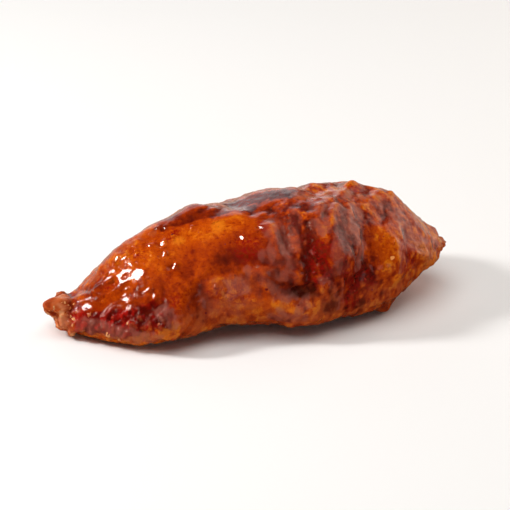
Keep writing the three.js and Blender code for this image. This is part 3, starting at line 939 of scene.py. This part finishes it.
# streaks and shreds where the crust is dry, and shreds on the lower rim
browning += (0.26 * (0.5 - wisps) + 0.16 * (0.5 - shreds)) * dry * (1 - 0.5 * behind)
crimson += 0.3 * (1 - wisps) * dry * (1 - ragged)
browning += 0.09 * (0.5 - shreds) * ramp(4, -8, facing) * ramp(-70, -40, facing) * ramp(0.42, 0.52, along)
# hollows are darker: thick glaze, and painted shade
browning += 0.5 * (fold_depth - 0.5) + 0.36 * (crease - 0.5) + 0.12 * wander
print("browning", browning.min().round(2), "to", browning.max().round(2))

# %% Wetness, bare rims with painted floor light, and ends
edge_crust = stroke([(0.1, 104), (0.14, 105), (0.24, 107)], 2.0)  # crumb that shows along the back edge
wetness = 1 - 0.15 * np.clip(rough, 0, 1) + 0.2 * film_and_sheen_mask - 0.85 * cluster
wetness -= (
    0.5 * patch(0.12, 8, 5, 4) + 0.5 * patch(0.22, 2, 4, 4) + 0.6 * patch(0.82, 80, 7, 5) + 0.7 * edge_crust
)
wetness -= 0.4 * ramp(4, -18, facing) * ramp(-90, -60, facing) + 0.4 * ragged

maroon = stroke([(0.66, 6), (0.688, -4), (0.682, -16)], 2.8)  # a bare, dark band between two folds
ridge_top = 1.6 * stroke([(0.6, 94), (0.68, 85), (0.76, 76)], 2.4)
# the lower side's bare crust, painted paler as well: a painted floor light
rim = ramp(2, -16, facing + 8 * tear) * ramp(-100, -70, facing)
rim = rim * ramp(0.05, 0.1, along) * ramp(0.96, 0.9, along)
rim = rim * (1 - cluster) * (1 - 0.9 * maroon) * (0.3 + 0.9 * shreds)
rim = rim + (ridge_top + 0.9 * edge_crust) * shreds

tan_edge = along + 0.012 * tear
tips = np.maximum(ramp(0.046, 0.018, tan_edge) * (0.55 + 0.6 * shreds), 0.8 * ramp(0.95, 0.99, tan_edge))

# film holds the dried film and its painted sheen, rim the bare crust and its painted floor light
MASKS = {
    "film": film_and_sheen_mask, "rim": rim, "pebbly": pebbly, "tone": tone, "wetness": wetness, "browning": browning,
    "crease": crease, "crimson": crimson, "rough": rough, "tips": tips,
}
for name, values in MASKS.items():
    layer = skin.data.attributes.new(name, "FLOAT", "POINT")
    layer.data.foreach_set("value", np.clip(values, 0, 1).astype(np.float32))
print("masks:", ", ".join(MASKS))

# %% [markdown]
# ## Crust mottle
#
# Browned crust is blotched at two sizes: patches of a few millimetres where the crumb took more colour, and
# specks of less than one. The group gives both masks and a height for the finest grain. The meat uses it in
# two sizes, and the crumbs, flecks and beads use it in a finer one.

# %% Crust mottle group
crust_mottle, given, result = new_group(
    "crust_mottle", {"Patch size": 3.0, "Speck size": 0.8, "Fray": 1.0}, ["Patches", "Specks", "Grain"],
)
PER_METRE = 1000.0  # sizes are in mm, and a pattern's scale counts its bumps in a metre
where = add(crust_mottle, "ShaderNodeTexCoord").outputs["Object"]


def mottle_noise(size, detail, roughness, distortion):
    """A noise with bumps of the size that an input of the group gives."""
    inputs = {
        "Vector": where, "Scale": math_node(crust_mottle, "DIVIDE", PER_METRE, given[size]),
        "Detail": detail, "Roughness": roughness, "Distortion": distortion,
    }
    return add(crust_mottle, "ShaderNodeTexNoise", inputs=inputs).outputs["Fac"]


patches = mottle_noise("Patch size", 5.0, 0.62, given["Fray"])
specks = mottle_noise("Speck size", 3.0, 0.6, 0.4)
grain = mottle_noise("Speck size", 6.0, 0.7, 0.8)
crust_mottle.links.new(sharpen(crust_mottle, patches, 0.36, 0.64), result["Patches"])
crust_mottle.links.new(sharpen(crust_mottle, specks, 0.52, 0.68), result["Specks"])
crust_mottle.links.new(grain, result["Grain"])
print("mottle group:", len(crust_mottle.nodes), "nodes")

# %% [markdown]
# ## Flaky crust
#
# Close up, the crust is made of crumbs of under a millimetre that lie side by side like roof tiles that
# slipped. Cells of a Voronoi pattern stand for them: each cell gets a tone of its own, and a height that
# leans its own way. The edges of the cells are ruffled by a noise first, so that none of them looks cut
# with a knife.

# %% Flaky crust group
flaky_crust, given, result = new_group(
    "flaky_crust", {"Flake size": 0.9, "Ruffle": 0.5}, ["Tone", "Height", "Joint"],
)
HALF = (0.5, 0.5, 0.5)  # the middle of a random colour, taken off so that it leans both ways

where = add(flaky_crust, "ShaderNodeTexCoord").outputs["Object"]
flake_scale = math_node(flaky_crust, "DIVIDE", PER_METRE, given["Flake size"])
ruffle = add(flaky_crust, "ShaderNodeTexNoise", inputs={"Vector": where, "Scale": flake_scale, "Detail": 2.0})
ruffle = vector_node(flaky_crust, "SUBTRACT", ruffle.outputs["Color"], HALF)["Vector"]
ruffle_by = math_node(flaky_crust, "DIVIDE", given["Ruffle"], flake_scale)
ruffle = add(flaky_crust, "ShaderNodeVectorMath", operation="SCALE", inputs={0: ruffle, "Scale": ruffle_by})
spot = vector_node(flaky_crust, "ADD", where, ruffle.outputs["Vector"])["Vector"]
cells = add(flaky_crust, "ShaderNodeTexVoronoi", inputs={"Vector": spot, "Scale": flake_scale}).outputs
from_middle = vector_node(flaky_crust, "SUBTRACT", spot, cells["Position"])["Vector"]
lean = vector_node(flaky_crust, "SUBTRACT", cells["Color"], HALF)["Vector"]
lift = vector_node(flaky_crust, "DOT_PRODUCT", lean, from_middle)["Value"]
flake_tone = add(flaky_crust, "ShaderNodeSeparateColor", inputs={0: cells["Color"]}).outputs["Red"]
edges = {"Vector": spot, "Scale": times(flaky_crust, flake_scale, 0.5)}
edges = add(flaky_crust, "ShaderNodeTexVoronoi", feature="DISTANCE_TO_EDGE", inputs=edges).outputs["Distance"]
flaky_crust.links.new(flake_tone, result["Tone"])
flaky_crust.links.new(sharpen(flaky_crust, edges, 0.09, 0.0), result["Joint"])
flaky_crust.links.new(times(flaky_crust, lift, flake_scale), result["Height"])
print("flake group:", len(flaky_crust.nodes), "nodes")

# %% [markdown]
# ## Glazed meat
#
# From below upwards: amber where light comes back out of the thick clear glaze, red-brown where the crust
# under it is browned, crimson where the sauce's pepper gathers, and near black in the deepest folds, which
# is thick glaze and painted shade. Tan shows where the crust stands out of the glaze. A paler film lies where
# the glaze has dried, and a painted sheen lies on it; the lower rim is paler bare crust with painted floor
# light. The wet layer over all this is the shader's own coat, with one even gloss. A mask makes it thin
# where the crust is dry, and there the crust's own roughness shows.

# %% Colours and patterns of the glazed meat
BROWNING = {  # from pale amber to nearly burnt
    0.05: colour(224, 118, 18), 0.25: colour(196, 76, 4), 0.42: colour(170, 56, 3),
    0.6: colour(136, 38, 4), 0.78: colour(102, 24, 5), 1.0: colour(64, 10, 3),
}
RED = colour(146, 12, 5)
PEPPER = colour(112, 12, 4)
TAN = colour(178, 84, 50)
# dried glaze film, and also a painted sheen where the glaze mirrors the warm side panel
DRIED_FILM_AND_SHEEN = colour(160, 90, 76)
# bare crust, and a painted floor light on the lower rim
BREADED_AND_FLOOR_LIGHT = colour(174, 84, 44)
SOAKED = {0.15: colour(74, 4, 3), 0.5: colour(112, 6, 4), 0.85: colour(168, 18, 10)}
CLUMPS = {0.15: colour(152, 38, 12), 0.45: colour(224, 102, 44), 0.85: colour(248, 168, 112)}

WET = {
    "Specular IOR Level": 0.15, "Specular Tint": (1.0, 0.85, 0.68, 1),
    "Coat Roughness": 0.06, "Coat IOR": 1.27,
    "Subsurface Weight": 0.12, "Subsurface Radius": (1.0, 0.25, 0.06), "Subsurface Scale": 1.5 * MM,
}
meat, tree, shader = new_material("glazed_meat", WET)


def mask(name):
    return add(tree, "ShaderNodeAttribute", attribute_name=name).outputs["Fac"]


mottle = use_group(tree, crust_mottle, patch_size=3.4, speck_size=0.9, fray=0.3)
broad = use_group(tree, crust_mottle, patch_size=8, speck_size=2.6, fray=0.8)
flakes = use_group(tree, flaky_crust, flake_size=0.8, ruffle=0.7)
roughly = sharpen(tree, mask("rough"), 0.1, 1.0)
print("groups of nodes:", len(bpy.data.node_groups))

# %% How browned each place is
cooked = weighted(tree, mottle["Patches"], 0.16, mask("browning"))
cooked = weighted(tree, broad["Patches"], 0.2, cooked)
cooked = weighted(tree, times(tree, flakes["Tone"], roughly), 0.22, cooked)
cooked = weighted(tree, roughly, -0.11, cooked)
cooked = weighted(tree, sharpen(tree, mottle["Grain"], 0.35, 0.65), 0.16, cooked)
base = stepped(tree, math_node(tree, "SUBTRACT", cooked, 0.25), BROWNING)
print("stops of brown:", len(BROWNING))

# %% The colours that lie over the browned crust
joint_mask = times(tree, flakes["Joint"], sharpen(tree, broad["Specks"], 0.0, 0.6))
joint_mask = times(tree, joint_mask, weighted(tree, roughly, 0.6, 0.1))
red_mask = times(tree, mask("crimson"), sharpen(tree, mottle["Grain"], 0.42, 0.62))
speck_mask = times(tree, sharpen(tree, mottle["Specks"], 0.4, 1.0), 0.5)
speck_mask = times(tree, speck_mask, sharpen(tree, mask("wetness"), 0.45, 0.9))
ridges = times(tree, sharpen(tree, mask("crease"), 0.4, 0.05), sharpen(tree, mask("rough"), 0.4, 1.0))
LAYERS = [
    (joint_mask, PEPPER),  # between the flakes
    (red_mask, RED),
    (times(tree, mask("pebbly"), 0.95), stepped(tree, mask("tone"), SOAKED)),
    (speck_mask, PEPPER),
    (times(tree, ridges, 0.35), TAN),
    # pale lower rim: bare crust and painted floor light
    (times(tree, mask("rim"), 0.5), BREADED_AND_FLOOR_LIGHT),
    (times(tree, mask("tips"), 0.9), stepped(tree, mask("tone"), CLUMPS)),
    # dried film and painted sheen
    (times(tree, mask("film"), 0.5), DRIED_FILM_AND_SHEEN),
]
for amount, paint in LAYERS:
    base = blend_colour(tree, amount, base, paint)
tree.links.new(base, shader.inputs["Base Color"])
print("layers over the brown:", len(LAYERS))

# %% Gloss and fine relief
gloss = {"Value": mottle["Grain"], "From Min": 0.3, "From Max": 0.7, "To Min": 0.12, "To Max": 0.26}
gloss = add(tree, "ShaderNodeMapRange", inputs=gloss).outputs[0]
relief = weighted(tree, mottle["Grain"], 0.5, flakes["Height"])
relief = times(tree, relief, weighted(tree, roughly, 0.7, 0.35))
bump = {"Strength": 0.8, "Distance": 0.35 * MM, "Height": relief}
bump = add(tree, "ShaderNodeBump", inputs=bump).outputs[0]
tree.links.new(gloss, shader.inputs["Roughness"])
tree.links.new(bump, shader.inputs["Normal"])
tree.links.new(mask("wetness"), shader.inputs["Coat Weight"])
print("glazed meat:", len(tree.nodes), "nodes")

# %% Put the skin in the solid's place
skin.data.materials.clear()
skin.data.materials.append(meat)
print("skin:", len(skin.data.vertices), "vertices")

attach(skin, "root")
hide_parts("tender")

# %% [markdown]
# ## What sticks to the glaze
#
# Loose bits follow the same masks as the crust. Crumbs broke off the coating and gather on the two ends and
# along the lower rim. Flecks are ground pepper and chilli, and most of them lie where the glaze is red.
# Beads are drops of glaze that ran together on the smooth side. Each kind is one piece, made of many small
# solids with few faces each.

# %% Scattering
PICK = random.Random(7)
FAINT = 0.02  # a chance up to this counts as none
TRIES = 6  # picks for each bit that is wanted, because some fall too near to another


def scatter(chance, number, nearest):
    """Picks vertices by chance, none nearer than some millimetres to another."""
    pool = np.flatnonzero(chance > FAINT)
    weights = chance[pool].tolist()
    chosen = []
    for vertex in PICK.choices(pool.tolist(), weights, k=number * TRIES):
        here = moved[vertex]
        if all(((moved[other] - here) ** 2).sum() > nearest**2 for other in chosen):
            chosen.append(vertex)
        if len(chosen) == number:
            break
    return chosen


def lying(vertex, size, flat, sunk):
    """A matrix that lays a unit ball on the skin: its size in mm, how flat it is, and how deep it sits."""
    normal = Vector(faces_out[vertex])
    turned = normal.to_track_quat("Z", "Y").to_matrix() @ Matrix.Rotation(PICK.uniform(0, math.tau), 3, "Z")
    stretch = Matrix.Diagonal((PICK.uniform(0.75, 1.3), PICK.uniform(0.75, 1.3), flat))
    place = Vector(moved[vertex]) * MM - normal * size * sunk * MM
    return Matrix.Translation(place) @ (turned @ stretch).to_4x4() @ Matrix.Scale(size / 2 * MM, 4)


def scattered_piece(name, material, vertices, sizes, flat, sunk, rounding, rugged, tones, around=None):
    """One piece of many small lumps, each with its own tone and dents. around adds the tone of the place."""
    ball = {"subdivisions": rounding, "radius": 1, "matrix": Matrix.Identity(4)}
    bm = bmesh.new()
    tone_layer = bm.verts.layers.float.new("tone")
    for vertex in vertices:
        size = PICK.uniform(*sizes)
        tone = PICK.uniform(*tones) + (0 if around is None else around[vertex])
        lump = bmesh.ops.create_icosphere(bm, **ball)["verts"]
        lie = lying(vertex, size, flat * PICK.uniform(0.8, 1.2), sunk)
        dents = Vector((PICK.uniform(0, 90), PICK.uniform(0, 90), 0))
        for corner in lump:
            uneven = noise.noise(corner.co * 1.3 + dents) + 0.6 * noise.noise(corner.co * 3.1 + dents)
            corner.co *= 1 + rugged * uneven
            corner[tone_layer] = tone
        bmesh.ops.transform(bm, matrix=lie, verts=lump)
    for face in bm.faces:
        face.smooth = True
    piece = finished(bm, name)
    piece.data.materials.append(material)
    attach(piece, "root")
    print(name, len(vertices), "solids,", len(piece.data.polygons), "faces")


faces_out = rows_of(skin.data.vertex_normals, "vector")
shown = ramp(0.3, 1.5, moved[:, 2])  # nothing sticks to the underside
print("skin that bits can stick to:", round(100 * (shown > 0.5).mean()), "%")

# %% Materials of the small pieces
def small_material(name, stops, roughness, coat, bumps):
    """Colour by each solid's tone, with the crust's own mottle over it."""
    finish = {
        "Roughness": roughness, "Specular IOR Level": 0.2,
        "Coat Weight": coat, "Coat Roughness": 0.08, "Coat IOR": 1.35,
    }
    material, nodes, surface = new_material(name, finish)
    tone = add(nodes, "ShaderNodeAttribute", attribute_name="tone").outputs["Fac"]
    own = use_group(nodes, crust_mottle, patch_size=1.2, speck_size=0.5, fray=0.4)
    shade = stepped(nodes, weighted(nodes, own["Patches"], 0.35, tone), stops)
    nodes.links.new(shade, surface.inputs["Base Color"])
    if bumps:
        uneven = {"Strength": bumps, "Distance": 0.15 * MM, "Height": own["Grain"]}
        nodes.links.new(add(nodes, "ShaderNodeBump", inputs=uneven).outputs[0], surface.inputs["Normal"])
    return material


CRUMBS = {
    0.0: colour(112, 34, 8), 0.4: colour(158, 66, 22), 0.8: colour(196, 104, 52), 1.3: colour(222, 150, 92),
}
FLECKS = {0.0: colour(84, 10, 4), 0.6: colour(128, 16, 5), 1.3: colour(168, 40, 10)}
BEADS = {**BROWNING, 0.0: colour(250, 160, 84)}  # the meat's colours, and a paler one below them for one drop's painted highlight
crumb_material = small_material("crumb", CRUMBS, roughness=0.5, coat=0.5, bumps=0.6)
fleck_material = small_material("fleck", FLECKS, roughness=0.5, coat=0.9, bumps=0.2)
bead_material = small_material("bead", BEADS, roughness=0.3, coat=1.0, bumps=0.0)
print("small materials:", crumb_material.name, fleck_material.name, bead_material.name)

# %% Crumbs, flecks and beads
def nearest_vertex(spot_along, spot_facing):
    """The vertex of the skin nearest to a spot."""
    return int(np.hypot(*offset(spot_along, spot_facing)).argmin())


tip_zone = np.maximum(ramp(0.085, 0.03, along), 0.7 * ramp(0.955, 0.985, along))
rims = ramp(0.3, 0.22, along) * ramp(2, -16, facing) * ramp(-75, -60, facing)
skirts = ramp(-16, -34, facing) * ramp(-80, -65, facing)

crumbs_on = shown * (3.5 * tip_zone + 0.3 * rims + 0.2 * skirts + 0.03 * behind)
scattered_piece(
    "crust_crumbs", crumb_material, scatter(crumbs_on, 120, 0.9),
    sizes=(0.6, 1.6), flat=0.5, sunk=0.2, rounding=2, rugged=0.5, tones=(0.25, 1.1),
)
flecks_on = shown * (0.3 + np.clip(crimson, 0, 1.5) + 0.6 * np.clip(crease * 2 - 1, 0, 1))
scattered_piece(
    "spice_flecks", fleck_material, scatter(flecks_on, 90, 1.4),
    sizes=(0.5, 1.0), flat=0.22, sunk=0.06, rounding=1, rugged=0.4, tones=(0.0, 0.9),
)
beads_on = shown * ramp(0.08, 0.14, along) * ramp(0.95, 0.9, along) * ramp(-10, 5, facing)
beads_on = beads_on * (0.2 + ramp(0.36, 0.2, along))
painted_highlight_drop = nearest_vertex(0.794, 11)  # one drop on the wedge half, painted pale: a painted highlight
bead_tones = browning.copy()
bead_tones[painted_highlight_drop] = -0.3
scattered_piece(
    "glaze_beads", bead_material, scatter(beads_on, 12, 3.0) + [painted_highlight_drop],
    sizes=(0.9, 1.6), flat=0.25, sunk=0.08, rounding=3, rugged=0.15, tones=(-0.3, -0.15), around=bead_tones,
)
